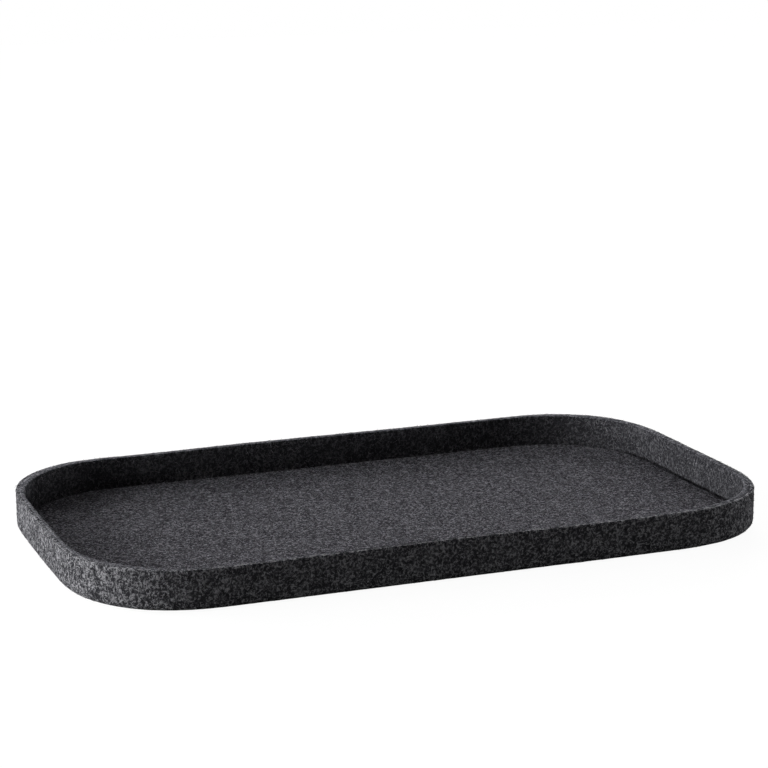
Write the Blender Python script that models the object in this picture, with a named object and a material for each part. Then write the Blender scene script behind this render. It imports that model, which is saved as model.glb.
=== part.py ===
"""Pressed felt serving tray: outer shell, wall lining, base stiffener and floor panel.

The origin is the centre of the underside. +X runs along the tray, +Y across it
and +Z up. An inset is a distance inwards from the outside of the wall, square
to it. A section is a list of (inset, height) points, and each piece is its
section carried once round the tray's rounded outline.
"""

import math

import bmesh
import bpy
from mathutils import Matrix, Vector

# Driving dimensions, in metres

TRAY_LENGTH = 0.460
TRAY_WIDTH = 0.270
TRAY_HEIGHT = 0.025

CORNER_REACH = 0.088          # how far along each side a corner's curve starts
CORNER_FULLNESS = 2.45        # exponent of the corner curve; 2 is a plain arc

SHELL_PLY = 0.0022            # felt of the outer shell
LINING_PLY = 0.0023           # felt of the wall lining
FLOOR_PLY = 0.0022            # felt of the floor panel
CORNER_GATHER = 0.0026        # how much thicker the lining is in the middle of a corner
STIFFENER_SHEET = 0.0005      # stiff sheet under the floor panel
GLUE_LINE = 0.0003            # gap that the adhesive fills between two pieces

BOTTOM_EDGE_RADIUS = 0.005    # outside, where the wall turns under
RIM_EDGE_RADIUS = 0.0007      # softened edges of the cut rim
LEAST_FILLET = 0.0003         # fillet of the inner fold when the outer one is sharp

STIFFENER_MARGIN = 0.004      # edge of the floor panel to edge of the stiffener
PRESSED_RUN = 0.003           # width over which the panel is pressed down at its edge
PANEL_ROLL = 0.0025           # width of the panel's rolled-off edge
PANEL_EDGE_THICKNESS = 0.0006 # felt left at the very edge of the panel

# Limits on curves, as shares of what they lie on

CORNER_LIMIT_SHARE = 0.48     # most of the shorter side that one corner may take
RIM_LIMIT_SHARE = 0.45        # most of a ply that its softened edge may take
PANEL_EDGE_LIMIT_SHARE = 0.8  # most of the panel's edge that may stay upright
SAME_PLACE_SHARE = 0.03       # of the glue line; points nearer than this are one point

# Smoothness

CORNER_STEPS = 20
EDGE_STEPS = 6
RIM_STEPS = 3
ROLL_STEPS = 6
PRESSED_STEPS = 4
SHARP_ANGLE = math.radians(35)

# Heights and insets that follow from the sizes above

corner_reach = min(CORNER_REACH, CORNER_LIMIT_SHARE * min(TRAY_LENGTH, TRAY_WIDTH))
lining_inset = SHELL_PLY + GLUE_LINE
wall_thickness = lining_inset + LINING_PLY
panel_inset = wall_thickness + GLUE_LINE
stiffener_inset = panel_inset + STIFFENER_MARGIN
bottom_radius = min(BOTTOM_EDGE_RADIUS, panel_inset + FLOOR_PLY)
fold_radius = max(bottom_radius - SHELL_PLY, LEAST_FILLET)
fold_centre = SHELL_PLY + fold_radius
bed_height = lining_inset
bed_radius = max(fold_radius - GLUE_LINE, 0)
stiffener_top = bed_height + STIFFENER_SHEET
panel_underside = stiffener_top + GLUE_LINE
floor_height = panel_underside + FLOOR_PLY
same_place = SAME_PLACE_SHARE * GLUE_LINE


def clear_scene():
    for item in list(bpy.data.objects):
        bpy.data.objects.remove(item, do_unlink=True)


def finish(name, colour, roughness):
    material = bpy.data.materials.new(name)
    material.use_nodes = True
    shader = material.node_tree.nodes["Principled BSDF"]
    shader.inputs["Base Color"].default_value = (*colour, 1)
    shader.inputs["Roughness"].default_value = roughness
    shader.inputs["Metallic"].default_value = 0
    return material


# The outline

def corner_curve():
    """One corner as (x, y, normal angle), for a corner one unit long in each direction."""
    curve = []
    power = CORNER_FULLNESS / (2 * (CORNER_FULLNESS - 1))
    for step in range(CORNER_STEPS + 1):
        turn = math.pi / 2 * step / CORNER_STEPS
        across = max(math.cos(turn), 0) ** power
        along = max(math.sin(turn), 0) ** power
        length = math.hypot(across, along)
        x = (across / length) ** (2 / CORNER_FULLNESS)
        y = (along / length) ** (2 / CORNER_FULLNESS)
        curve.append((x, y, turn))
    return curve


def gathered(inset, turn):
    """An inset and what the lining gains up to there, which is most in the middle of a corner."""
    share = min(max((inset - lining_inset) / LINING_PLY, 0), 1)
    return inset + share * CORNER_GATHER * math.sin(2 * turn)


def outline(inset, inside):
    """The tray's rounded outline, moved inwards square to itself by an inset.

    What stands inside the shell follows the lining, which is gathered in the corners.
    """
    points = []
    half_length = TRAY_LENGTH / 2 - corner_reach
    half_width = TRAY_WIDTH / 2 - corner_reach
    centres = ((half_length, half_width), (-half_length, half_width),
               (-half_length, -half_width), (half_length, -half_width))
    for quarter, centre in enumerate(centres):
        turned = Matrix.Rotation(math.pi / 2 * quarter, 2)
        for x, y, turn in corner_curve():
            on_corner = turned @ Vector((x, y)) * corner_reach
            normal = turned @ Vector((math.cos(turn), math.sin(turn)))
            depth = gathered(inset, turn) if inside else inset
            points.append(Vector(centre) + on_corner - normal * depth)
    return points


# Sections

def arc(centre, radius, start, end, steps):
    """Points of an arc in a section, its angles in degrees, or its centre for no radius."""
    if radius < same_place:
        return [centre]
    points = []
    for step in range(steps + 1):
        angle = math.radians(start + (end - start) * step / steps)
        points.append((centre[0] + radius * math.cos(angle),
                       centre[1] + radius * math.sin(angle)))
    return points


def bed_line(start, end):
    """What lies on the shell follows this line, one glue line above its inner face."""
    points = []
    if start < fold_centre - same_place and bed_radius > same_place:
        reach = min((fold_centre - start) / bed_radius, 1)
        stop = min(max((fold_centre - end) / bed_radius, 0), 1)
        first = 180 + math.degrees(math.acos(reach))
        last = 180 + math.degrees(math.acos(stop))
        points += arc((fold_centre, fold_centre), bed_radius, first, last, EDGE_STEPS)
    else:
        points.append((start, bed_height))
    if end > fold_centre:
        points.append((end, bed_height))
    return points


def tidy(section):
    """Leaves out a point that repeats the one before it."""
    kept = []
    for point in section:
        if not kept or math.dist(point, kept[-1]) > same_place:
            kept.append(point)
    return kept


def carry_round(name, section, material, inside=True, closed=False, seat=0):
    """Carries a section round the outline; an open section is capped at both ends."""
    shape = bmesh.new()
    loops = []
    for inset, height in tidy(section):
        ring = outline(inset, inside)
        loops.append([shape.verts.new((*point, height - seat)) for point in ring])
    pairs = list(zip(loops, loops[1:]))
    if closed:
        pairs.append((loops[-1], loops[0]))
    for lower, upper in pairs:
        for here in range(len(lower)):
            shape.faces.new((lower[here - 1], lower[here], upper[here], upper[here - 1]))
    if not closed:
        shape.faces.new(reversed(loops[0]))
        shape.faces.new(loops[-1])
    bmesh.ops.recalc_face_normals(shape, faces=shape.faces)
    mesh = bpy.data.meshes.new(name)
    shape.to_mesh(mesh)
    shape.free()
    mesh.shade_smooth()
    mesh.set_sharp_from_angle(angle=SHARP_ANGLE)
    mesh.materials.append(material)
    piece = bpy.data.objects.new(name, mesh)
    piece.location.z = seat
    bpy.context.scene.collection.objects.link(piece)
    return piece


# Pieces

def make_outer_shell():
    """Underside and outside of the wall, pressed from one ply."""
    softening = min(RIM_EDGE_RADIUS, RIM_LIMIT_SHARE * SHELL_PLY)
    section = arc((bottom_radius, bottom_radius), bottom_radius, 270, 180, EDGE_STEPS)
    section += arc((softening, TRAY_HEIGHT - softening), softening, 180, 90, RIM_STEPS)
    section.append((SHELL_PLY, TRAY_HEIGHT))
    section += arc((fold_centre, fold_centre), fold_radius, 180, 270, EDGE_STEPS)
    material = finish("charcoal_felt_outside", (0.040, 0.040, 0.045), 0.95)
    return carry_round("outer_shell", section, material, inside=False)


def make_wall_lining():
    """Inner ply of the wall, a band from the base up to the rim, thicker in the corners."""
    softening = min(RIM_EDGE_RADIUS, RIM_LIMIT_SHARE * LINING_PLY)
    section = [(lining_inset, TRAY_HEIGHT)]
    section += bed_line(lining_inset, wall_thickness)
    rim_centre = (wall_thickness - softening, TRAY_HEIGHT - softening)
    section += arc(rim_centre, softening, 0, 90, RIM_STEPS)
    material = finish("charcoal_felt_lining", (0.038, 0.038, 0.042), 0.95)
    return carry_round("wall_lining", section, material, closed=True, seat=bed_height)


def make_base_stiffener():
    """Stiff sheet that keeps the floor flat."""
    section = [(stiffener_inset, bed_height), (stiffener_inset, stiffener_top)]
    material = finish("black_stiffener_sheet", (0.020, 0.020, 0.022), 0.5)
    return carry_round("base_stiffener", section, material, seat=bed_height)


def make_floor_panel():
    """Felt floor, pressed down past the stiffener's edge and rolled off at the wall."""
    recess_inset = stiffener_inset - GLUE_LINE
    pressed_to = max(stiffener_inset - PRESSED_RUN / 2, panel_inset + PANEL_ROLL)
    pressed_from = pressed_to + PRESSED_RUN
    pressed_top = bed_height + FLOOR_PLY
    edge_bed = bed_line(panel_inset, recess_inset)
    edge_base = edge_bed[0][1]
    most_upright = PANEL_EDGE_LIMIT_SHARE * (pressed_top - edge_base)
    edge_top = edge_base + min(PANEL_EDGE_THICKNESS, most_upright)

    section = [(recess_inset, panel_underside)]
    section += reversed(edge_bed)
    for step in range(ROLL_STEPS + 1):
        angle = math.pi / 2 * step / ROLL_STEPS
        section.append((panel_inset + PANEL_ROLL * (1 - math.cos(angle)),
                        edge_top + (pressed_top - edge_top) * math.sin(angle)))
    for step in range(PRESSED_STEPS + 1):
        share = step / PRESSED_STEPS
        eased = (1 - math.cos(math.pi * share)) / 2
        section.append((pressed_to + (pressed_from - pressed_to) * share,
                        pressed_top + (floor_height - pressed_top) * eased))
    material = finish("charcoal_felt_floor", (0.045, 0.045, 0.050), 0.95)
    return carry_round("floor_panel", section, material, seat=bed_height)


def make_tray():
    clear_scene()
    tray = bpy.data.objects.new("tray", None)
    bpy.context.scene.collection.objects.link(tray)
    pieces = (make_outer_shell(), make_wall_lining(), make_base_stiffener(), make_floor_panel())
    for piece in pieces:
        piece.parent = tray


make_tray()
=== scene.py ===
import math

import bpy
import numpy as np
from mathutils import Matrix, Vector, geometry, kdtree, noise


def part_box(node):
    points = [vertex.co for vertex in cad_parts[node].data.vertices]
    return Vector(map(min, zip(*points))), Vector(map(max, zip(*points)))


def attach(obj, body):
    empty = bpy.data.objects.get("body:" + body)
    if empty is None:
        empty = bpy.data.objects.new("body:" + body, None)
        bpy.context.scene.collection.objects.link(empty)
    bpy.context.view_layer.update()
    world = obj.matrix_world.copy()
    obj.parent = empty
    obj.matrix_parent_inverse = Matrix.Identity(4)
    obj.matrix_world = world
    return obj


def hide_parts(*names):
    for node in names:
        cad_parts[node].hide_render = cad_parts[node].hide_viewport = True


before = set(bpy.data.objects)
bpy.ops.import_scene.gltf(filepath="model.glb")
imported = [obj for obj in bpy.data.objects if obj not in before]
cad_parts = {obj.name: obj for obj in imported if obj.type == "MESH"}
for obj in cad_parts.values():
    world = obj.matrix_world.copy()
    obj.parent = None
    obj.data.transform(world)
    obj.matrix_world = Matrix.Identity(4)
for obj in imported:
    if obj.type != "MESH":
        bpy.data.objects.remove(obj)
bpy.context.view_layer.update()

mm = 0.001
noiseMiddle = (0.5, 0.5, 0.5)        # what the colour of a noise swings round


# Helpers for colours, nodes and trees

def toLinear(hexColour):
    channels = []
    for start in (1, 3, 5):
        value = int(hexColour[start:start + 2], 16) / 255
        channels.append(value / 12.92 if value <= 0.04045 else ((value + 0.055) / 1.055) ** 2.4)
    return (*channels, 1)


def addNode(tree, kind, inputs=None, **settings):
    node = tree.nodes.new(kind)
    for name, value in settings.items():
        setattr(node, name, value)
    for name, value in (inputs or {}).items():
        if isinstance(value, bpy.types.NodeSocket):
            tree.links.new(value, node.inputs[name])
        else:
            node.inputs[name].default_value = value
    return node


def maths(tree, operation, *values, clamp=False):
    # What a Math node makes of these numbers and sockets
    node = addNode(tree, "ShaderNodeMath", dict(enumerate(values)), operation=operation,
                   use_clamp=clamp)
    return node.outputs[0]


def vectorMaths(tree, operation, *values):
    # The same for vectors. A vector is scaled by a number, which has an input of its own.
    names = (0, "Scale") if operation == "SCALE" else (0, 1)
    node = addNode(tree, "ShaderNodeVectorMath", dict(zip(names, values)), operation=operation)
    return node.outputs["Value" if operation in ("DOT_PRODUCT", "LENGTH") else "Vector"]


def addObject(name, data):
    thing = bpy.data.objects.new(name, data)
    bpy.context.scene.collection.objects.link(thing)
    return thing


def newMaterial(name):
    material = bpy.data.materials.new(name)
    material.use_nodes = True
    return material, material.node_tree, material.node_tree.nodes["Principled BSDF"].inputs


def newTree(name, sockets):
    # A Geometry Nodes tree with named inputs and one geometry output
    tree = bpy.data.node_groups.new(name, "GeometryNodeTree")
    for socketName, kind in sockets.items():
        tree.interface.new_socket(socketName, in_out="INPUT", socket_type="NodeSocket" + kind)
    tree.interface.new_socket("Geometry", in_out="OUTPUT", socket_type="NodeSocketGeometry")
    return tree, tree.nodes.new("NodeGroupInput").outputs


def store(tree, geometry, name, value, kind="FLOAT"):
    # Keeps a value on each point under a name, for stored to read
    return addNode(tree, "GeometryNodeStoreNamedAttribute",
                   {"Geometry": geometry, "Name": name, "Value": value},
                   data_type=kind, domain="POINT").outputs[0]


def stored(tree, name, kind="FLOAT"):
    return addNode(tree, "GeometryNodeInputNamedAttribute", {"Name": name},
                   data_type=kind).outputs["Attribute"]


def runTree(name, tree, values, source=None):
    # Evaluates a tree once and keeps what it makes as a plain mesh
    holder = addObject(name, source or bpy.data.meshes.new(name))
    modifier = holder.modifiers.new(name, "NODES")
    modifier.node_group = tree
    for item in tree.interface.items_tree:
        if item.in_out == "INPUT" and item.name in values:
            modifier[item.identifier] = values[item.name]
    depsgraph = bpy.context.evaluated_depsgraph_get()
    mesh = bpy.data.meshes.new_from_object(holder.evaluated_get(depsgraph), depsgraph=depsgraph,
                                           preserve_all_data_layers=True)
    bpy.data.objects.remove(holder, do_unlink=True)
    return mesh


def addPath(name, points, cyclic):
    # A curve object of one straight-lined spline, for a tree to read
    curve = bpy.data.curves.new(name, "CURVE")
    curve.dimensions = "3D"
    spline = curve.splines.new("POLY")
    spline.points.add(len(points) - 1)
    spline.points.foreach_set("co", np.column_stack([points, np.ones(len(points))]).ravel())
    spline.use_cyclic_u = cyclic
    return addObject(name, curve)


# The tray's form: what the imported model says, and the values of the curves that it follows

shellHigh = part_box("outer_shell")[1]
liningLow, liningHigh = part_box("wall_lining")
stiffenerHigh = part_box("base_stiffener")[1]
panelLow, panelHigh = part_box("floor_panel")

trayForm = {
    "cornerReach": 88 * mm,          # how far along each side a corner's curve starts
    "cornerFullness": 2.45,          # exponent of the corner curve; 2 is a plain arc
    "cornerSteps": 240,              # fine steps along one corner, before the even spacing
    "cornerGather": 2.6 * mm,        # how much thicker the lining is in the middle of a corner
    "bottomEdgeRadius": 5 * mm,      # outside, where the wall turns under
    "rimEdgeRadius": 0.7 * mm,       # softened edges of the cut rim
    "glueLine": 0.3 * mm,            # between two plies, filled by the adhesive
    "rimGap": 0.02 * mm,             # what is left of it where the rim shows it
    "panelRoll": 2.5 * mm,           # width of the floor panel's rolled-off edge
    "panelRollDepth": 0.7 * mm,      # how far that edge dips, as far as it shows
    "hem": 0.9 * mm,                 # how far under it the lining is still drawn
    "pressedRun": 3 * mm,            # width over which the panel is pressed down
}

halfLength = shellHigh.x
halfWidth = shellHigh.y
rimHeight = shellHigh.z
floorHeight = panelHigh.z
liningInset = halfLength - liningHigh.x                  # outer face of the lining
panelInset = halfLength - panelHigh.x
wallInset = panelInset - trayForm["glueLine"]            # inner face of the wall
seamInset = liningInset - trayForm["glueLine"] / 2       # middle of the glue in the wall
stiffenerInset = halfLength - stiffenerHigh.x
bedHeight = liningLow.z                                  # top of the glue on the shell


def cornerPoint(turn):
    # A corner one unit long each way, by the direction that it faces
    fullness = trayForm["cornerFullness"]
    power = fullness / (2 * (fullness - 1))
    across = max(math.cos(turn), 0) ** power
    along = max(math.sin(turn), 0) ** power
    size = math.hypot(across, along)
    return (across / size) ** (2 / fullness), (along / size) ** (2 / fullness)


def outlineRound(count):
    # Points round the outside of the wall, evenly spaced
    reach = trayForm["cornerReach"]
    places = []
    for quarter, (signX, signY) in enumerate(((1, 1), (-1, 1), (-1, -1), (1, -1))):
        centre = Vector((signX * (halfLength - reach), signY * (halfWidth - reach)))
        turned = Matrix.Rotation(math.pi / 2 * quarter, 2)
        for step in range(trayForm["cornerSteps"] + 1):
            turn = math.pi / 2 * step / trayForm["cornerSteps"]
            places.append(centre + turned @ Vector(cornerPoint(turn)) * reach)
    places = np.array(places + places[:1])
    gone = np.concatenate(([0], np.cumsum(np.linalg.norm(np.diff(places, axis=0), axis=1))))
    at = np.linspace(0, gone[-1], count, endpoint=False)
    return np.column_stack([np.interp(at, gone, places[:, axis]) for axis in (0, 1)] + [0 * at])


# A section is a list of (inset, height, how open to view), from below outwards, up and in

def arc(centre, radius, start, end, steps, openness=1):
    points = []
    for step in range(steps + 1):
        angle = math.radians(start + (end - start) * step / steps)
        points.append((centre[0] + radius * math.cos(angle),
                       centre[1] + radius * math.sin(angle), openness))
    return points


def run(start, end, spacing, openness=1):
    # Points between two places, with the first and without the last
    steps = max(round(math.dist(start, end) / spacing), 1)
    points = []
    for step in range(steps):
        share = step / steps
        points.append((start[0] + (end[0] - start[0]) * share,
                       start[1] + (end[1] - start[1]) * share, openness))
    return points


# Felt material

def feltMaterial(name, look):
    # Pressed wool felt, melange: nearly black, with light fibres lying every way in it. It is fully
    # matt, because its fibres scatter what gloss they have.
    material, tree, shader = newMaterial(name)
    place = addNode(tree, "ShaderNodeTexCoord").outputs["Object"]
    swirl = addNode(tree, "ShaderNodeTexNoise",
                    {"Vector": place, "Scale": 1 / look["curl"], "Detail": 1})
    centred = vectorMaths(tree, "SUBTRACT", swirl.outputs["Color"], noiseMiddle)
    pulled = vectorMaths(tree, "SCALE", centred, look["curlReach"])
    curled = vectorMaths(tree, "ADD", place, pulled)
    tuft = addNode(tree, "ShaderNodeTexNoise",
                   {"Vector": curled, "Scale": 1 / look["tuft"], "Detail": 1,
                    "Roughness": look["tuftRoughness"]}).outputs["Fac"]
    raised = maths(tree, "MULTIPLY_ADD", tuft, look["tuftReach"], -look["tuftReach"] / 2)
    shown = 0
    shiftX, shiftY, shiftZ = look["layerShift"]
    for layer, (tilt, turn, share) in enumerate(look["directions"]):
        # Each layer's fibres run one way: a noise drawn out along it, of which the crests show,
        # more of them where a tuft of light fibres lies
        laid = addNode(tree, "ShaderNodeMapping",
                       {"Vector": curled,
                        "Location": (shiftX * layer, shiftY * layer, shiftZ),
                        "Rotation": (0, math.radians(tilt), math.radians(turn)),
                        "Scale": (look["fibreLength"], look["fibreWidth"], look["fibreWidth"])},
                       vector_type="TEXTURE")
        field = addNode(tree, "ShaderNodeTexNoise",
                        {"Vector": laid.outputs[0], "Scale": 1, "Detail": 0}).outputs["Fac"]
        drawn = addNode(tree, "ShaderNodeMapRange",
                        {"Value": maths(tree, "ADD", field, raised), "From Min": look["fibreFrom"],
                         "From Max": look["fibreFrom"] + look["fibreRise"]},
                        interpolation_type="SMOOTHSTEP")
        shown = maths(tree, "MULTIPLY_ADD", drawn.outputs[0], share, shown)
    grain = addNode(tree, "ShaderNodeTexNoise",
                    {"Vector": place, "Scale": 1 / look["grain"], "Detail": 1,
                     "Roughness": look["grainRoughness"]}).outputs["Fac"]
    cloud = addNode(tree, "ShaderNodeTexNoise",
                    {"Vector": place, "Scale": 1 / look["cloud"], "Detail": 2}).outputs["Fac"]
    tone = look["toneFrom"]
    for part, share in ((shown, "fibreShare"), (grain, "grainShare"),
                        (tuft, "tuftShare"), (cloud, "cloudShare")):
        tone = maths(tree, "MULTIPLY_ADD", part, look[share], tone)
    ramp = addNode(tree, "ShaderNodeValToRGB", {"Fac": tone})
    stops = ramp.color_ramp.elements
    stops[0].position, stops[0].color = look["darkAt"], toLinear(look["dark"])
    stops[1].position, stops[1].color = look["lightAt"], toLinear(look["light"])
    stops.new(look["middleAt"]).color = toLinear(look["middle"])
    height = maths(tree, "MULTIPLY_ADD", grain, look["grainHeight"], shown)
    bump = addNode(tree, "ShaderNodeBump",
                   {"Height": height, "Distance": look["fibreHeight"], "Strength": 1})
    rough = addNode(tree, "ShaderNodeMapRange",
                    {"Value": shown, "To Min": look["roughness"][0],
                     "To Max": look["roughness"][1]})
    # The rim is lighter: partly its lighter cut fibre ends, partly a painted highlight where it
    # catches light. Felt with little nap is darkened: painted shade, which the floor has at the
    # foot of the wall.
    cutAndHighlight = addNode(tree, "ShaderNodeAttribute", attribute_name="cut_edge_and_highlight").outputs["Fac"]
    nap = addNode(tree, "ShaderNodeAttribute", attribute_name="nap").outputs["Fac"]
    napWeight = maths(tree, "MULTIPLY_ADD", nap, look["lowNapShade"], 1 - look["lowNapShade"])
    gain = maths(tree, "MULTIPLY_ADD", cutAndHighlight, look["cutEdgeAndHighlight"], napWeight)
    colour = vectorMaths(tree, "SCALE", ramp.outputs["Color"], gain)
    tree.links.new(colour, shader["Base Color"])
    tree.links.new(rough.outputs[0], shader["Roughness"])
    tree.links.new(bump.outputs["Normal"], shader["Normal"])
    shader["Specular IOR Level"].default_value = 0
    return material


shellFeltLook = {
    # The tone of a place is this start plus its shares of fibre, tuft, grain and cloud, and the
    # three colours lie at these tones
    "dark": "#1e1e20",
    "middle": "#2f2f32",
    "light": "#868689",
    "toneFrom": -0.045,
    "darkAt": 0.35,
    "middleAt": 0.6,
    "lightAt": 1.0,
    "cutEdgeAndHighlight": 0.42,                 # how much lighter the rim is: its cut fibre ends, and a painted highlight where it catches light
    "lowNapShade": 0.0,              # how much painted shade darkens felt with little nap
    # Layers of fibres: degrees about Y, degrees about Z, and how light
    "directions": ((0, 0, 0.9), (0, 60, 0.5), (0, 120, 0.7), (90, 0, 0.8), (45, 0, 0.45),
                   (-45, 0, 0.6), (45, 90, 0.8), (-45, 90, 0.5)),
    "fibreLength": 5.0 * mm,
    "fibreWidth": 0.66 * mm,         # several times a real fibre's with the dark round it
    "fibreFrom": 0.64,               # how high a crest has to be before it shows
    "fibreRise": 0.15,               # and how much higher, to show in full
    "fibreShare": 0.4,
    "layerShift": (0.31, 0.17, 0.11),    # where each layer reads the noise, so that no two match
    "curl": 3.0 * mm,                # size of the curls
    "curlReach": 3.0 * mm,           # how far they pull a fibre aside
    "tuft": 1.8 * mm,                # where light fibres bunch together
    "tuftReach": 0.3,                # how much they raise the crests there
    "tuftRoughness": 0.4,
    "tuftShare": 0.5,
    "grain": 0.4 * mm,               # the dark fibres between, drawn coarser than they are
    "grainRoughness": 0.6,
    "grainShare": 0.3,
    "grainHeight": 0.5,              # in heights of a fibre
    "cloud": 9 * mm,                 # uneven mixing of light and dark wool
    "cloudShare": 0.42,
    "fibreHeight": 0.18 * mm,
    "roughness": (1.0, 0.82),        # between the fibres and on them
}

# The lining is drawn in darker colours than the shell's felt: painted shade for the inner walls,
# which get less light.
liningFeltLook = {**shellFeltLook, "dark": "#1f1f21", "middle": "#27272a", "light": "#545457",
                  "cutEdgeAndHighlight": 1.75}   # as light a rim as the shell's, on darker felt
# On the floor, felt with little nap next to the wall is darkened: painted shade at the foot of the
# wall.
floorFeltLook = {**shellFeltLook, "dark": "#252528", "middle": "#3b3a3e", "light": "#8c8b91",
                 "fibreWidth": 0.58 * mm, "fibreLength": 4.4 * mm, "tuft": 1.5 * mm,
                 "cloud": 8 * mm, "cloudShare": 0.2, "toneFrom": 0, "lowNapShade": 0.55}


# Felt plies: a tree carries each section round the outline, then the flats are filled

feltMesh = {
    "stations": 1092,                # places round the tray, about 1.2 mm apart
    "rise": 1.1 * mm,                # spacing of the points up the wall
    "hiddenSteps": 3,                # levels where the wall doesn't show
    "underSpacing": 2.8 * mm,        # between the points of the underside
    "floorSpacing": 1.9 * mm,        # and of the floor
    "clear": 0.6,                    # how far these stay off their ring, in spacings
    "mergeWithin": 1e-7,             # metres
    "bottomSteps": 8,                # faces round the bottom edge
    "backSteps": 6,                  # and round the hidden side of it
    "rimSteps": 4,
    "rollSteps": 8,
    "pressedSteps": 6,
    "relief": ((2.4 * mm, 0.05 * mm), (7 * mm, 0.07 * mm)),   # size and height of each wave
    "napUnder": 0.15,                # share of loose fibres on the underside, which is pressed flat
    "napRim": 1.6,                   # and on the cut rim, which frays
    # The front rim's middle gets less of the rim's lightening, as it catches less light: painted
    # shade. Place, spread and share of the lightness lost
    "frontRimShade": ((-25 * mm, -135 * mm), 75 * mm, 0.9),
}

trueness = {
    # Pressed felt is never quite true: each swell has its place, spread, outward and upward push
    "swells": (
        ((199 * mm, 121 * mm), 60 * mm, 0.3 * mm, 0.45 * mm),
        ((-36 * mm, 135 * mm), 70 * mm, 0.0 * mm, 0.35 * mm),
        ((-134 * mm, 135 * mm), 45 * mm, 0.0 * mm, -0.3 * mm),
        ((-176 * mm, 131 * mm), 24 * mm, 0.4 * mm, 0.3 * mm),
        ((-230 * mm, -20 * mm), 62 * mm, 0.9 * mm, 0.0 * mm),
        ((-214 * mm, -107 * mm), 24 * mm, -0.5 * mm, 0.0 * mm),
        ((-180 * mm, -130 * mm), 26 * mm, 0.4 * mm, 0.0 * mm),
        ((-7 * mm, -135 * mm), 70 * mm, 0.1 * mm, 0.5 * mm),
        ((99 * mm, -135 * mm), 34 * mm, 0.4 * mm, -0.35 * mm),
        ((192 * mm, -125 * mm), 50 * mm, 0.1 * mm, 0.4 * mm),
        ((230 * mm, 0 * mm), 60 * mm, 0.1 * mm, 0.2 * mm),
    ),
    "rise": 0.25 * mm,               # how far the fray lifts the whole rim
    "sway": 0.12 * mm,               # and a smaller sway everywhere
    "swaySize": 45 * mm,
    "swaySlice": 4.3,                # the slice of the noise that it comes from
    "swaySeed": 4,                   # fixed, or every run would sway in its own way
}
noise.seed_set(trueness["swaySeed"])


def makeCarryTree():
    # Carries a section round an outline. Inside the shell the lining is gathered in the corners,
    # so a place there lies deeper by a share that grows over the lining's own thickness.
    tree, given = newTree("sectionRoundOutline", {
        "Outline": "Object", "Section": "Object", "Gather": "Float",
        "Gathered from": "Float", "Gathered over": "Float", "Material": "Material"})
    outline = addNode(tree, "GeometryNodeObjectInfo", {"Object": given["Outline"]})
    section = addNode(tree, "GeometryNodeObjectInfo", {"Object": given["Section"]})
    place = addNode(tree, "GeometryNodeInputPosition").outputs[0]
    tangent = addNode(tree, "GeometryNodeInputTangent").outputs[0]
    outwards = vectorMaths(tree, "CROSS_PRODUCT", tangent, (0, 0, 1))
    rail = store(tree, outline.outputs["Geometry"], "facing", outwards, "FLOAT_VECTOR")
    rail = store(tree, rail, "station", place, "FLOAT_VECTOR")
    profile = store(tree, section.outputs["Geometry"], "section", place, "FLOAT_VECTOR")
    carried = addNode(tree, "GeometryNodeCurveToMesh", {"Curve": rail, "Profile Curve": profile})
    facing, station, across = (stored(tree, name, "FLOAT_VECTOR")
                               for name in ("facing", "station", "section"))
    across = addNode(tree, "ShaderNodeSeparateXYZ", {0: across}).outputs
    turned = addNode(tree, "ShaderNodeSeparateXYZ", {0: facing}).outputs
    corner = maths(tree, "ABSOLUTE", maths(tree, "MULTIPLY", turned["X"], turned["Y"]))
    beyond = maths(tree, "SUBTRACT", across["X"], given["Gathered from"])
    share = maths(tree, "DIVIDE", beyond, given["Gathered over"], clamp=True)
    # In the middle of a corner, where facing's parts multiply to a half, the gather is whole
    gained = maths(tree, "MULTIPLY", corner, maths(tree, "MULTIPLY", given["Gather"], 2))
    depth = maths(tree, "MULTIPLY_ADD", gained, share, across["X"])
    inwards = vectorMaths(tree, "SCALE", facing, maths(tree, "MULTIPLY", depth, -1))
    height = addNode(tree, "ShaderNodeCombineXYZ", {"Z": across["Y"]}).outputs[0]
    moved = vectorMaths(tree, "ADD", vectorMaths(tree, "ADD", inwards, height), station)
    placed = addNode(tree, "GeometryNodeSetPosition",
                     {"Geometry": carried.outputs[0], "Position": moved})
    outside = addNode(tree, "GeometryNodeFlipFaces", {"Mesh": placed.outputs[0]})
    real = addNode(tree, "GeometryNodeRealizeInstances", {"Geometry": outside.outputs[0]})
    dressed = addNode(tree, "GeometryNodeSetMaterial",
                      {"Geometry": real.outputs[0], "Material": given["Material"]})
    addNode(tree, "NodeGroupOutput", {"Geometry": dressed.outputs[0]})
    return tree


def fillFlat(ring, spacing):
    # Points and triangles inside a closed ring that runs anticlockwise, on an even grid
    tree = kdtree.KDTree(len(ring))
    for index, place in enumerate(ring):
        tree.insert((*place, 0), index)
    tree.balance()
    along = np.roll(ring, -1, axis=0) - np.roll(ring, 1, axis=0)
    step = spacing * math.sqrt(3) / 2
    reachX, reachY = np.abs(ring).max(0)
    inner = []
    for row in range(-int(reachY / step), int(reachY / step) + 1):
        for column in range(-int(reachX / spacing), int(reachX / spacing) + 1):
            place = np.array((column * spacing + spacing / 2 * (row % 2), row * step))
            index, away = tree.find((*place, 0))[1:]
            off = place - ring[index]
            inside = along[index][0] * off[1] > along[index][1] * off[0]
            if inside and away > feltMesh["clear"] * spacing:
                inner.append(place)
    corners = [Vector(place) for place in (*ring, *inner)]
    edges = [(here, (here + 1) % len(ring)) for here in range(len(ring))]
    filled = geometry.delaunay_2d_cdt(corners, edges, [], 1, feltMesh["mergeWithin"])
    if len(filled[0]) != len(corners):
        raise ValueError("points of a flat were merged")
    return np.array(inner), filled[2]


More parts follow.
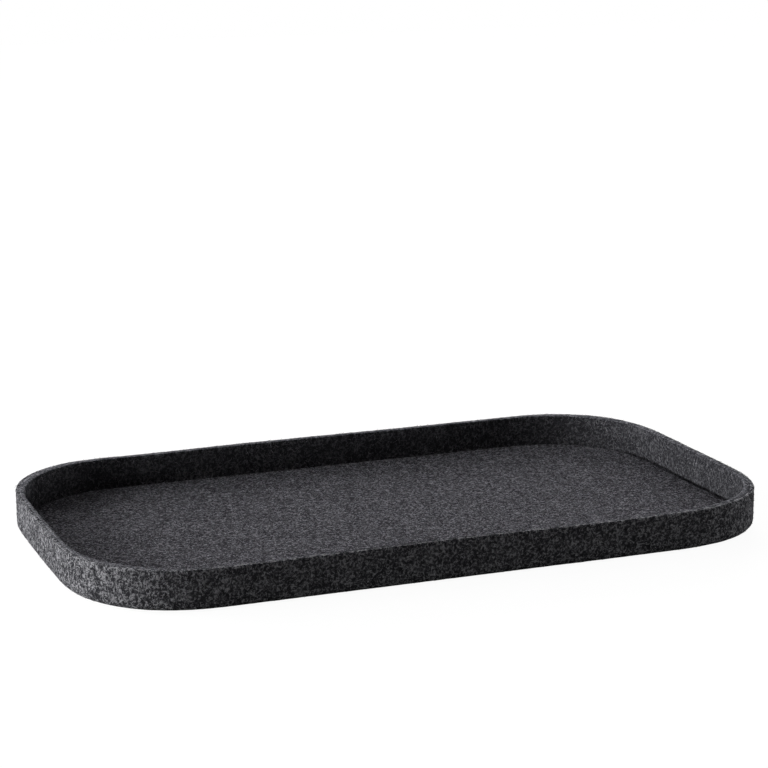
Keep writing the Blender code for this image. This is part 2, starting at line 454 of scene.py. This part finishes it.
def swell(outline, heights, facing):
    # How far the swells and the sway push places that stand at these points of the outline
    out = np.zeros(len(outline))
    up = np.full(len(outline), trueness["rise"])
    for centre, spread, outwards, upwards in trueness["swells"]:
        near = np.exp(-((outline - centre) ** 2).sum(1) / spread ** 2)
        out += near * outwards
        up += near * upwards
    for index, place in enumerate(outline):
        at = (*(place / trueness["swaySize"]), trueness["swaySlice"])
        sway = noise.noise_vector(at) * trueness["sway"]
        out[index] += sway.x
        up[index] += sway.z
    lift = np.clip((heights - floorHeight) / (rimHeight - floorHeight), 0, 1)
    return np.column_stack([facing * out[:, None], up * lift])


def relief(places):
    # The fine waves of the felt's surface
    heights = []
    for place in places:
        heights.append(sum(noise.noise(Vector(place) / size) * height
                           for size, height in feltMesh["relief"]))
    return np.array(heights)


carryTree = makeCarryTree()


def makeFelt(name, section, bakeMap, material, closed=False, under=None, over=None):
    # under and over are the spacings that a ply's two flats are filled with. A flat without one
    # isn't seen and stays one face.
    count, levels = feltMesh["stations"], len(section)
    soft, bottom = trayForm["rimEdgeRadius"], trayForm["bottomEdgeRadius"]
    outline = addPath("outline", outlineRound(count), True)
    profile = addPath("section", np.array(section) * (1, 1, 0), closed)
    ring = runTree(name, carryTree, {
        "Outline": outline, "Section": profile, "Gather": trayForm["cornerGather"],
        "Gathered from": liningInset, "Gathered over": wallInset - liningInset,
        "Material": material})
    for path in (outline, profile):
        bpy.data.objects.remove(path, do_unlink=True)

    places = np.zeros(len(ring.vertices) * 3)
    ring.vertices.foreach_get("co", places)
    places = places.reshape(-1, 3)
    kept = {}
    for attribute in ("facing", "station"):
        values = np.zeros(len(places) * 3)
        ring.attributes[attribute].data.foreach_get("vector", values)
        kept[attribute] = values.reshape(-1, 3)[:, :2]
    corners = np.zeros(len(ring.loops), int)
    ring.loops.foreach_get("vertex_index", corners)
    faces = corners.reshape(-1, 4)
    openness = np.tile([point[2] for point in section], count)
    pushed = swell(kept["station"], places[:, 2], kept["facing"])
    bpy.data.meshes.remove(ring)

    # Where each corner of a face lies in the map that the materials are baked to
    station, level = faces // levels, faces % levels
    station = np.where((station == 0) & (station.max(1) > 1)[:, None], count, station)
    level = np.where((level == 0) & (level.max(1) > 1)[:, None], levels, level)
    maps = bakeMap(station / count, level, places[faces][:, :, :2])
    faces = faces.tolist()
    maps = maps.reshape(-1, 2).tolist()

    flats = () if closed else ((0, under, -1), (levels - 1, over, 1))
    for level, spacing, way in flats:
        loop = np.arange(count) * levels + level
        inner, triangles = [], [list(range(count))]
        if spacing is not None:
            inner, triangles = fillFlat(places[loop, :2], spacing)
            height, shown = section[level][1:]
            loop = np.concatenate([loop, len(places) + np.arange(len(inner))])
            filled = np.column_stack([inner, np.full(len(inner), height)])
            places = np.concatenate([places, filled])
            openness = np.concatenate([openness, np.full(len(inner), shown)])
            pushed = np.concatenate([pushed, np.zeros((len(inner), 3))])
        for triangle in triangles:
            face = [int(loop[corner]) for corner in triangle][::way]
            faces.append(face)
            maps += bakeMap(None, level, places[face, :2]).tolist()

    mesh = bpy.data.meshes.new(name)
    mesh.from_pydata(places.tolist(), [], faces)
    normals = np.zeros(len(places) * 3)
    mesh.vertex_normals.foreach_get("vector", normals)
    lifted = normals.reshape(-1, 3) * (relief(places) * openness)[:, None]
    mesh.vertices.foreach_set("co", (places + pushed + lifted).ravel())
    onRim = places[:, 2] > rimHeight - soft / 2
    napWeight = np.interp(places[:, 2], (0, bottom), (feltMesh["napUnder"], 1))
    # The floor's material darkens felt where this is low, next to the wall: painted shade at the
    # foot of the wall.
    nap = openness * np.where(onRim, feltMesh["napRim"], napWeight)
    mesh.attributes.new("nap", "FLOAT", "POINT").data.foreach_set("value", nap)
    # The rim's lightening, partly its cut fibre ends and partly a painted highlight, with less of
    # it in the front middle: painted shade
    centre, spread, share = feltMesh["frontRimShade"]
    frontRimShade = share * np.exp(-((places[:, :2] - centre) ** 2).sum(1) / spread ** 2)
    mesh.attributes.new("cut_edge_and_highlight", "FLOAT", "POINT").data.foreach_set("value", onRim * (1 - frontRimShade))
    mesh.uv_layers.new(name="OFBake").data.foreach_set("uv", np.array(maps).ravel())
    mesh.materials.append(material)
    mesh.shade_smooth()
    mesh.update()
    print(name, "has", len(mesh.polygons), "faces")
    return addObject(name, mesh)


def layOut(section, closed, layout):
    # Where faces lie in the map that the materials are baked to: the wall in level strips, one
    # flat as seen from above, and what is hidden pressed into a narrow band
    ends = section + section[:1] if closed else section
    steps = [math.dist(here[:2], there[:2]) for here, there in zip(ends, ends[1:])]
    reach = np.concatenate(([0], np.cumsum(steps)))
    openness = np.array([point[2] for point in ends])
    shown = openness[:-1] + openness[1:] > 0
    first = reach[np.argmax(shown)]
    low, high = layout["hidden"]
    rounding = 1e-6                      # keeps the start of a strip out of the one before

    def lay(share, level, plan):
        if share is None or not layout["strips"]:
            unitX, unitY, middle = layout["flat"]
            flat = np.stack([0.5 + plan[..., 0] / unitX, middle + plan[..., 1] / unitY], -1)
        if share is None:
            if openness[level] > 0:
                return flat
            unitX, unitY, middle = layout["cap"]
            return np.stack([0.5 + plan[..., 0] / unitX, middle + plan[..., 1] / unitY], -1)
        hidden = np.stack([0.5 + (share - 0.5) * layout["fill"],
                           low + (high - low) * reach[level] / reach[-1]], -1)
        if layout["strips"]:
            strip = np.floor(share.min(1) * layout["strips"] + rounding)[:, None]
            across = (share * layout["strips"] - strip - 0.5) * layout["fill"]
            along = (layout["stripsFrom"] + strip * layout["pitch"]
                     + (reach[level] - first) / layout["unit"])
            flat = np.stack([0.5 + across, along], -1)
        return np.where(shown[level.min(1)][:, None, None], flat, hidden)

    return lay


shellMap = {
    "strips": 4,                     # lengths that the wall is cut to
    "unit": 333 * mm,                # what the whole width of the map stands for along them
    "stripsFrom": 0.571,
    "pitch": 0.0945,
    "flat": (465 * mm, 465 * mm, 0.285),     # what its width and height stand for, and its middle
    "cap": (500 * mm, 15, 0.988),            # the same for a flat that doesn't show
    "hidden": (0.953, 0.975),
    "fill": 0.985,                   # the rest is a margin at each side
}

liningMap = {
    "strips": 7,
    "unit": 190 * mm,
    "stripsFrom": 0.006,
    "pitch": 0.13,
    "hidden": (0.93, 0.99),
    "fill": 0.985,
}

floorMap = {
    "strips": 0,
    "flat": (460 * mm, 460 * mm, 0.29),
    "cap": (500 * mm, 1.2, 0.85),
    "hidden": (0.6, 0.7),
    "fill": 0.985,
}


def makeShellFelt():
    # One ply: the underside, the rounded bottom edge and the outside of the wall
    bottom = trayForm["bottomEdgeRadius"]
    soft = trayForm["rimEdgeRadius"]
    back = seamInset - trayForm["rimGap"] / 2
    section = arc((bottom, bottom), bottom, 270, 180, feltMesh["bottomSteps"])
    section += run((0, bottom), (0, rimHeight - soft), feltMesh["rise"])[1:]
    section += arc((soft, rimHeight - soft), soft, 180, 90, feltMesh["rimSteps"])
    section.append(((soft + back) / 2, rimHeight, 1))
    section.append((back, rimHeight, 1))
    section.append((back, rimHeight - soft, 0))
    section += run((back, rimHeight - soft), (back, bottom),
                   rimHeight / feltMesh["hiddenSteps"], 0)[1:]
    section += arc((bottom, bottom), bottom - back, 180, 270, feltMesh["backSteps"], 0)
    return makeFelt("outer_shell_felt", section, layOut(section, False, shellMap),
                    feltMaterial("pressed_wool_felt_shell", shellFeltLook),
                    under=feltMesh["underSpacing"])


def makeLiningFelt():
    # One ply, standing in the shell: its rim and its inner face show
    bottom = trayForm["bottomEdgeRadius"]
    soft = trayForm["rimEdgeRadius"]
    back = seamInset + trayForm["rimGap"] / 2
    radius = bottom - back
    tucked = math.degrees(math.acos((wallInset - bottom) / radius))
    hem = panelLow.z + trayForm["hem"]
    foot = bottom - radius * math.sin(math.radians(tucked))
    section = arc((bottom, bottom), radius, 360 - tucked, 180, feltMesh["backSteps"], 0)
    section += run((back, bottom), (back, rimHeight - soft),
                   rimHeight / feltMesh["hiddenSteps"], 0)[1:]
    section.append((back, rimHeight - soft, 0))
    section.append((back, rimHeight, 1))
    section.append(((back + wallInset - soft) / 2, rimHeight, 1))
    section += arc((wallInset - soft, rimHeight - soft), soft, 90, 0, feltMesh["rimSteps"])
    section += run((wallInset, rimHeight - soft), (wallInset, hem), feltMesh["rise"])[1:]
    section += run((wallInset, hem), (wallInset, foot), hem, 0)
    return makeFelt("wall_lining_felt", section, layOut(section, True, liningMap),
                    feltMaterial("pressed_wool_felt_lining", liningFeltLook), closed=True)


def makeFloorFelt():
    # The floor ply, pressed down past the stiffener's edge and rolled off at the wall. The felt
    # gets looser from the wall to the flat, over both, and its material darkens it where it is
    # tighter: painted shade at the foot of the wall.
    ply = floorHeight - stiffenerHigh.z - trayForm["glueLine"]
    recess = stiffenerInset - trayForm["glueLine"]
    ceiling = stiffenerHigh.z + trayForm["glueLine"]
    pressedTop = bedHeight + ply
    edgeTop = pressedTop - trayForm["panelRollDepth"]
    pressedTo = stiffenerInset - trayForm["pressedRun"] / 2
    section = [(recess, ceiling, 0), (recess, bedHeight, 0), (panelInset, bedHeight, 0)]
    steps = feltMesh["rollSteps"]
    for step in range(steps + 1):
        angle = math.pi / 2 * step / steps
        section.append((panelInset + trayForm["panelRoll"] * (1 - math.cos(angle)),
                        edgeTop + (pressedTop - edgeTop) * math.sin(angle), step / steps / 2))
    steps = feltMesh["pressedSteps"]
    for step in range(steps + 1):
        eased = (1 - math.cos(math.pi * step / steps)) / 2
        section.append((pressedTo + trayForm["pressedRun"] * step / steps,
                        pressedTop + (floorHeight - pressedTop) * eased, 0.5 + step / (2 * steps)))
    return makeFelt("floor_panel_felt", section, layOut(section, False, floorMap),
                    feltMaterial("pressed_wool_felt_floor", floorFeltLook),
                    over=feltMesh["floorSpacing"])


shellFelt = makeShellFelt()
liningFelt = makeLiningFelt()
floorFelt = makeFloorFelt()
print("felt plies made")


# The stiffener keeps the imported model's shape and gets its own material

stiffenerLook = {
    "colour": "#1b1b1d",
    "grain": 0.8 * mm,
    "grainHeight": 0.01 * mm,
    "roughness": (0.38, 0.55),
    "ior": 1.49,
}


def stiffenerMaterial(name, look):
    # Black polypropylene sheet, calendered: satin, with a fine leather-like grain
    material, tree, shader = newMaterial(name)
    place = addNode(tree, "ShaderNodeTexCoord").outputs["Object"]
    grain = addNode(tree, "ShaderNodeTexVoronoi", {"Vector": place, "Scale": 1 / look["grain"]})
    rough = addNode(tree, "ShaderNodeMapRange",
                    {"Value": grain.outputs["Distance"], "To Min": look["roughness"][0],
                     "To Max": look["roughness"][1]})
    bump = addNode(tree, "ShaderNodeBump",
                   {"Height": grain.outputs["Distance"], "Distance": look["grainHeight"]})
    tree.links.new(rough.outputs[0], shader["Roughness"])
    tree.links.new(bump.outputs["Normal"], shader["Normal"])
    shader["Base Color"].default_value = toLinear(look["colour"])
    shader["IOR"].default_value = look["ior"]
    return material


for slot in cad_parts["base_stiffener"].material_slots:
    slot.material = stiffenerMaterial("polypropylene_sheet_black", stiffenerLook)
print("stiffener dressed")


# Loose fibres: lighter and darker hairs that curl on the felt and stand out of it

def makeFibreTree():
    # Grows fibres where the nap is: straight ones laid on the felt, which a noise then curls
    tree, given = newTree("curlyFibres", {
        "Geometry": "Geometry", "Density": "Float", "Fibre length": "Float", "Curl size": "Float",
        "Curl reach": "Float", "Spring": "Float", "Sink": "Float", "Thickness": "Float",
        "Seed": "Int", "Material": "Material"})

    def random(low, high, seed):
        # A number for each fibre
        node = addNode(tree, "FunctionNodeRandomValue", {2: low, 3: high, "Seed": seed})
        return node.outputs[1]

    density = maths(tree, "MULTIPLY", given["Density"], stored(tree, "nap"))
    roots = addNode(tree, "GeometryNodeDistributePointsOnFaces",
                    {"Mesh": given["Geometry"], "Density": density, "Seed": given["Seed"]})
    marked = roots.outputs["Points"]
    for name, kind, value in (("grown", "FLOAT_VECTOR", roots.outputs["Normal"]),
                              ("tone", "FLOAT", random(0, 1, 1)),
                              ("sprung", "FLOAT", random(0, 1, 2)),
                              ("number", "FLOAT", random(0, fibreForm["apart"], 3))):
        marked = store(tree, marked, name, value, kind)
    line = addNode(tree, "GeometryNodeCurvePrimitiveLine",
                   {"Start": (-0.5, 0, 0), "End": (0.5, 0, 0)})
    line = addNode(tree, "GeometryNodeResampleCurve",
                   {"Curve": line.outputs[0], "Count": fibreForm["points"]})
    spin = addNode(tree, "FunctionNodeAxisAngleToRotation",
                   {"Axis": (0, 0, 1), "Angle": random(0, 2 * math.pi, 4)})
    turned = addNode(tree, "FunctionNodeRotateRotation",
                     {0: roots.outputs["Rotation"], 1: spin.outputs[0]}, rotation_space="LOCAL")
    length = maths(tree, "MULTIPLY", given["Fibre length"], random(*fibreForm["lengths"], 5))
    lines = addNode(tree, "GeometryNodeInstanceOnPoints",
                    {"Points": marked, "Instance": line.outputs[0], "Rotation": turned.outputs[0],
                     "Scale": length})
    lines = addNode(tree, "GeometryNodeRealizeInstances", {"Geometry": lines.outputs[0]})
    grown, sprung = stored(tree, "grown", "FLOAT_VECTOR"), stored(tree, "sprung")
    place = addNode(tree, "GeometryNodeInputPosition").outputs[0]
    curls = addNode(tree, "ShaderNodeTexNoise",
                    {"Vector": place, "W": stored(tree, "number"), "Detail": 1,
                     "Scale": maths(tree, "DIVIDE", 1, given["Curl size"])}, noise_dimensions="4D")
    centred = vectorMaths(tree, "SUBTRACT", curls.outputs["Color"], noiseMiddle)
    pulled = vectorMaths(tree, "SCALE", centred, given["Curl reach"])
    through = vectorMaths(tree, "DOT_PRODUCT", pulled, grown)
    # A fibre's middle arches out of the felt and its ends are caught in it, or one end is free
    along = addNode(tree, "GeometryNodeSplineParameter").outputs["Factor"]
    left = maths(tree, "SUBTRACT", 1, along)
    arch = maths(tree, "MULTIPLY", maths(tree, "MULTIPLY", along, left), 4)
    free = maths(tree, "MULTIPLY", along, along)
    loose = maths(tree, "GREATER_THAN", sprung, 1 - fibreForm["freeShare"])
    arched = maths(tree, "MULTIPLY", arch, maths(tree, "SUBTRACT", 1, loose))
    freed = maths(tree, "MULTIPLY", maths(tree, "MULTIPLY", free, loose), fibreForm["freeRise"])
    spring = maths(tree, "ADD", sprung, fibreForm["springFrom"])
    rise = maths(tree, "MULTIPLY", maths(tree, "ADD", arched, freed), given["Spring"])
    rise = maths(tree, "MULTIPLY", rise, spring)
    lift = maths(tree, "SUBTRACT", maths(tree, "SUBTRACT", rise, given["Sink"]), through)
    moved = vectorMaths(tree, "ADD", pulled, vectorMaths(tree, "SCALE", grown, lift))
    curled = addNode(tree, "GeometryNodeSetPosition",
                     {"Geometry": lines.outputs[0], "Offset": moved})
    thread = addNode(tree, "GeometryNodeCurvePrimitiveCircle",
                     {"Resolution": fibreForm["sides"],
                      "Radius": maths(tree, "MULTIPLY", given["Thickness"], 0.5)})
    solid = addNode(tree, "GeometryNodeCurveToMesh",
                    {"Curve": curled.outputs[0], "Profile Curve": thread.outputs[0],
                     "Fill Caps": True})
    real = addNode(tree, "GeometryNodeRealizeInstances", {"Geometry": solid.outputs[0]})
    smooth = addNode(tree, "GeometryNodeSetShadeSmooth", {0: real.outputs[0]})
    dressed = addNode(tree, "GeometryNodeSetMaterial",
                      {"Geometry": smooth.outputs[0], "Material": given["Material"]})
    addNode(tree, "NodeGroupOutput", {"Geometry": dressed.outputs[0]})
    return tree


fibreForm = {
    "points": 7,                     # along a fibre
    "sides": 3,                      # round it
    "freeShare": 0.3,                # of the fibres have a free end
    "freeRise": 2,                   # how high that end springs, in arches
    "springFrom": 0.4,               # a fibre springs this much to one more, in springs
    "lengths": (0.6, 1.3),           # shortest and longest, in fibre lengths
    "apart": 500,                    # how far apart in the curls' noise two fibres may lie
    "cell": (0.1, 0.32),             # where it winds in its cell of the map: from, and over
    "sizes": {
        "Fibre length": 3.2 * mm,
        "Curl size": 1.3 * mm,
        "Curl reach": 2.2 * mm,
        "Spring": 0.18 * mm,
        "Sink": 0.04 * mm,
        "Thickness": 0.11 * mm,      # three or four times a real one's, so that it shows
    },
    # Name: fibres per square metre, seed
    "sets": {
        "outer_shell_fibres": (9.5e4, 3),
        "wall_lining_fibres": (1.0e5, 5),
        "floor_panel_fibres": (4e4, 8),
    },
}

fibreLook = {
    # From which share of the fibres on, and their colour
    "tones": ((0.0, "#141416"), (0.35, "#3a393d"), (0.6, "#67666b"), (0.85, "#a09ea4")),
    "roughness": (0.85, 0.6),        # of the darkest and the lightest
}


def fibreMaterial(name, look):
    # Single wool fibres, dyed black or grey or left pale: each is one colour, as matt as the felt
    material, tree, shader = newMaterial(name)
    tone = addNode(tree, "ShaderNodeAttribute", attribute_name="tone").outputs["Fac"]
    ramp = addNode(tree, "ShaderNodeValToRGB", {"Fac": tone})
    ramp.color_ramp.interpolation = "CONSTANT"
    stops = ramp.color_ramp.elements
    stops.remove(stops[1])
    stops[0].position, stops[0].color = look["tones"][0][0], toLinear(look["tones"][0][1])
    for position, colour in look["tones"][1:]:
        stops.new(position).color = toLinear(colour)
    rough = addNode(tree, "ShaderNodeMapRange",
                    {"Value": tone, "To Min": look["roughness"][0], "To Max": look["roughness"][1]})
    tree.links.new(ramp.outputs["Color"], shader["Base Color"])
    tree.links.new(rough.outputs[0], shader["Roughness"])
    shader["Specular IOR Level"].default_value = 0
    return material


def makeFibres(name, ply):
    density, seed = fibreForm["sets"][name]
    mesh = runTree(name, fibreTree, {**fibreForm["sizes"], "Density": density, "Seed": seed,
                                     "Material": woolFibre}, source=ply.data)
    for extra in ("grown", "sprung", "number", "nap", "cut_edge_and_highlight"):
        if extra in mesh.attributes:
            mesh.attributes.remove(mesh.attributes[extra])
    # In the map that the materials are baked to, each fibre has a cell of its own
    points = fibreForm["points"] * fibreForm["sides"]
    corners = np.zeros(len(mesh.loops), int)
    mesh.loops.foreach_get("vertex_index", corners)
    fibre, within = corners // points, corners % points
    ring, side = within // fibreForm["sides"], within % fibreForm["sides"]
    cells = math.ceil(math.sqrt(len(mesh.vertices) / points))
    angle = 2 * math.pi * side / fibreForm["sides"]
    start, reach = fibreForm["cell"]
    out = start + reach * ring / (fibreForm["points"] - 1)
    maps = np.column_stack([fibre % cells + 0.5 + out * np.cos(angle),
                            fibre // cells + 0.5 + out * np.sin(angle)]) / cells
    mesh.uv_layers.new(name="OFBake").data.foreach_set("uv", maps.ravel())
    print(name, "has", len(mesh.vertices) // points, "fibres")
    return addObject(name, mesh)


fibreTree = makeFibreTree()
woolFibre = fibreMaterial("wool_fibres_melange", fibreLook)
shellFibres = makeFibres("outer_shell_fibres", shellFelt)
liningFibres = makeFibres("wall_lining_fibres", liningFelt)
floorFibres = makeFibres("floor_panel_fibres", floorFelt)
print("fibres made")


# Which body each piece rides on; each felt ply hides the imported part that it replaces

for piece, node, slot in ((shellFelt, "outer_shell", "shell_felt"),
                          (liningFelt, "wall_lining", "lining_felt"),
                          (floorFelt, "floor_panel", "floor_felt")):
    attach(piece, "root")
    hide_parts(node)
for piece, slot in ((shellFibres, "shell_felt"),
                    (liningFibres, "lining_felt"),
                    (floorFibres, "floor_felt")):
    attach(piece, "root")


# Floor, light and camera

cameraLook = {
    "place": (-0.52214, -1.34322, 0.42470),
    "yaw": 21.246,                   # degrees, to the right of +Y
    "pitch": 13.0005,                # degrees, down
    "roll": 0.2916,
    "lens": 106.94,
    "sensor": 36,
    "clipFrom": 0.05,
}

lampLook = {
    # name: metres off, degrees round from +X, degrees up, width, height, watts
    "back_right_window": (2.2, 60, 12, 0.9, 0.9, 69),
    "back_right_low": (2.2, 60, 7, 0.9, 0.5, 28),
    "back_left_window": (2.2, 150, 12, 0.9, 0.9, 40),
    "back_left_high": (2.2, 150, 32, 0.9, 0.9, 14),
    "left_window": (2.2, 180, 12, 0.9, 0.9, 57),
    "right_strip": (2.2, 355, 2.2, 0.9, 0.12, 14),
    "front_left_fill": (2.2, 215, 7.5, 0.9, 0.35, 0.5),
    "front_right_strip": (2.2, 305, 2.2, 0.9, 0.12, 3.5),
    "right_high": (2.2, 345, 55, 0.9, 0.9, 9.5),
}


def makeCamera():
    camera = addObject("camera", bpy.data.cameras.new("camera"))
    camera.data.lens = cameraLook["lens"]
    camera.data.sensor_width = cameraLook["sensor"]
    camera.data.clip_start = cameraLook["clipFrom"]
    camera.location = cameraLook["place"]
    turned = Matrix.Rotation(-math.radians(cameraLook["yaw"]), 3, "Z")
    tipped = Matrix.Rotation(math.pi / 2 - math.radians(cameraLook["pitch"]), 3, "X")
    rolled = Matrix.Rotation(-math.radians(cameraLook["roll"]), 3, "Z")
    camera.rotation_euler = (turned @ tipped @ rolled).to_euler()
    bpy.context.scene.camera = camera


def makeLamps():
    for name, (away, around, up, width, height, power) in lampLook.items():
        lamp = addObject(name, bpy.data.lights.new(name, "AREA"))
        lamp.data.shape = "RECTANGLE"
        lamp.data.size = width
        lamp.data.size_y = height
        lamp.data.energy = power
        around, up = math.radians(around), math.radians(up)
        lamp.location = away * Vector((math.cos(around) * math.cos(up),
                                       math.sin(around) * math.cos(up), math.sin(up)))
        lamp.rotation_euler = (-lamp.location).to_track_quat("-Z", "Y").to_euler()


floorLook = {
    "half": 4.0,                     # metres, half its side
    "level": -0.2 * mm,
    "card": 0.3,                     # how much light it throws back at the tray
    "shade": 0.08,                   # how much of a shadow it shows to the camera
    "near": 0.945,                   # its white close to the tray, which leaves room for the shadow
    "spread": (0.45, 0.9),           # metres over which that becomes full white
}


def seenWhite(tree):
    # 1 for rays from the camera, and for those that metal and glass send on
    path = addNode(tree, "ShaderNodeLightPath").outputs
    sentOn = maths(tree, "MAXIMUM", path["Is Glossy Ray"], path["Is Transmission Ray"])
    return maths(tree, "MAXIMUM", path["Is Camera Ray"], sentOn)


def makeFloor():
    # White card that lights the tray like mid-grey card and shows only a little of its shadow
    half, level = floorLook["half"], floorLook["level"]
    mesh = bpy.data.meshes.new("studio_floor")
    corners = ((-half, -half), (half, -half), (half, half), (-half, half))
    mesh.from_pydata([(*corner, level) for corner in corners], [], [(0, 1, 2, 3)])
    material = bpy.data.materials.new("white_card")
    material.use_nodes = True
    tree = material.node_tree
    tree.nodes.remove(tree.nodes["Principled BSDF"])
    card = addNode(tree, "ShaderNodeBsdfDiffuse", {"Color": (*[floorLook["card"]] * 3, 1)})
    shade = addNode(tree, "ShaderNodeBsdfDiffuse", {"Color": (*[floorLook["shade"]] * 3, 1)})
    place = addNode(tree, "ShaderNodeTexCoord").outputs["Object"]
    white = addNode(tree, "ShaderNodeMapRange",
                    {"Value": vectorMaths(tree, "LENGTH", place),
                     "From Min": floorLook["spread"][0], "From Max": floorLook["spread"][1],
                     "To Min": floorLook["near"], "To Max": 1})
    glow = addNode(tree, "ShaderNodeEmission",
                   {"Color": (1, 1, 1, 1), "Strength": white.outputs[0]})
    lit = addNode(tree, "ShaderNodeAddShader", {0: shade.outputs[0], 1: glow.outputs[0]})
    both = addNode(tree, "ShaderNodeMixShader",
                   {"Fac": seenWhite(tree), 1: card.outputs[0], 2: lit.outputs[0]})
    tree.links.new(both.outputs[0], tree.nodes["Material Output"].inputs["Surface"])
    mesh.materials.append(material)
    addObject("studio_floor", mesh)


def makeWorld():
    # White to look at, and dark as a source of light
    world = bpy.data.worlds.new("studio")
    world.use_nodes = True
    tree = world.node_tree
    back = tree.nodes["Background"]
    tree.links.new(seenWhite(tree), back.inputs["Strength"])
    back.inputs["Color"].default_value = (1, 1, 1, 1)
    bpy.context.scene.world = world


makeCamera()
makeLamps()
makeFloor()
makeWorld()
bpy.context.scene.view_settings.view_transform = "Standard"
print("stage ready")
